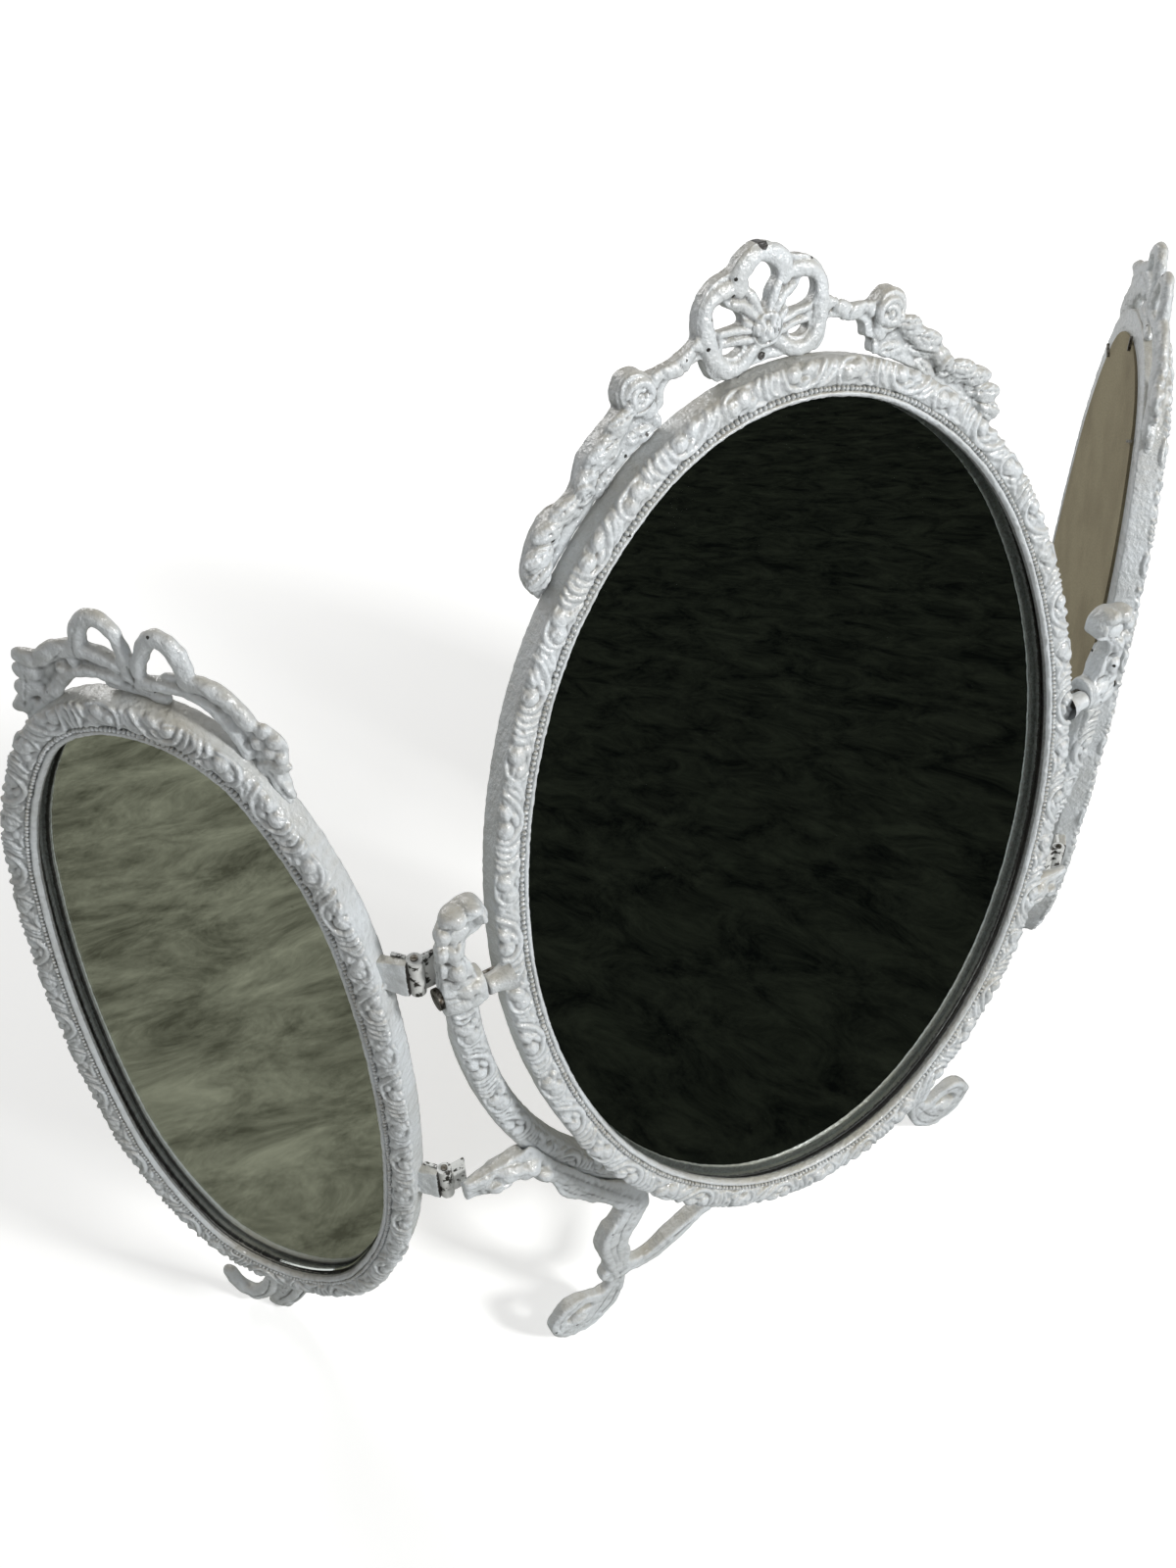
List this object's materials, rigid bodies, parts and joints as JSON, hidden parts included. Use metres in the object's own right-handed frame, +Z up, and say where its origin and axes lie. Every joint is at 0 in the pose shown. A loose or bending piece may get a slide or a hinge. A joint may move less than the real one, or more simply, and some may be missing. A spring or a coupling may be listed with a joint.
{
  "type": "trifold vanity mirror",
  "caption": "Oval tilting mirror in a cast scrolled yoke stand with two hinged oval wing mirrors, bow and garland crests and scroll feet.",
  "frame": {"origin": "on the ground under the middle of the whole assembly's bounding box at rest", "axes": "+Z up, +X along the row of three mirrors from the user's left to right, -Y toward the user"},
  "size_m": [0.6056, 0.1943, 0.5438],
  "materials": {
    "painted_casting": "thick white brush-painted gloss over a relief casting, worn through to dark metal on a few edges",
    "hinge_metal": "white paint rubbed off the moving faces, dark metal showing",
    "steel": "dulled turned steel with traces of paint",
    "mirror_glass": "clear float glass silvered on the back",
    "back_board": "pressed brown backing board, matt"
  },
  "bodies": {
    "stand": {"yoke": "painted_casting", "base": "painted_casting", "left_pivot_screw": "steel", "left_stand_leaves": "hinge_metal", "right_pivot_screw": "steel", "right_stand_leaves": "hinge_metal"},
    "centre": {"centre_frame": "painted_casting", "centre_crest": "painted_casting", "centre_glass": "mirror_glass", "centre_board": "back_board", "centre_brads": "steel"},
    "left_wing": {"left_wing_frame": "painted_casting", "left_wing_crest": "painted_casting", "left_wing_glass": "mirror_glass", "left_wing_board": "back_board", "left_wing_brads": "steel", "left_wing_leaves": "hinge_metal", "left_hinge_pins": "steel"},
    "right_wing": {"right_wing_frame": "painted_casting", "right_wing_crest": "painted_casting", "right_wing_glass": "mirror_glass", "right_wing_board": "back_board", "right_wing_brads": "steel", "right_wing_leaves": "hinge_metal", "right_hinge_pins": "steel"}
  },
  "joints": [
    {"name": "centre_tilt", "type": "hinge", "parent": "stand", "child": "centre", "pos_m": [0, -0.05126, 0.306], "axis": [1, 0, 0], "range_deg": [-35, 35]},
    {"name": "left_wing_fold", "type": "hinge", "parent": "stand", "child": "left_wing", "pos_m": [-0.182, -0.04556, 0.306], "axis": [0, 0, 1], "range_deg": [-38, 126]},
    {"name": "right_wing_fold", "type": "hinge", "parent": "stand", "child": "right_wing", "pos_m": [0.182, -0.04556, 0.306], "axis": [0, 0, 1], "range_deg": [-126, 38]}
  ]
}
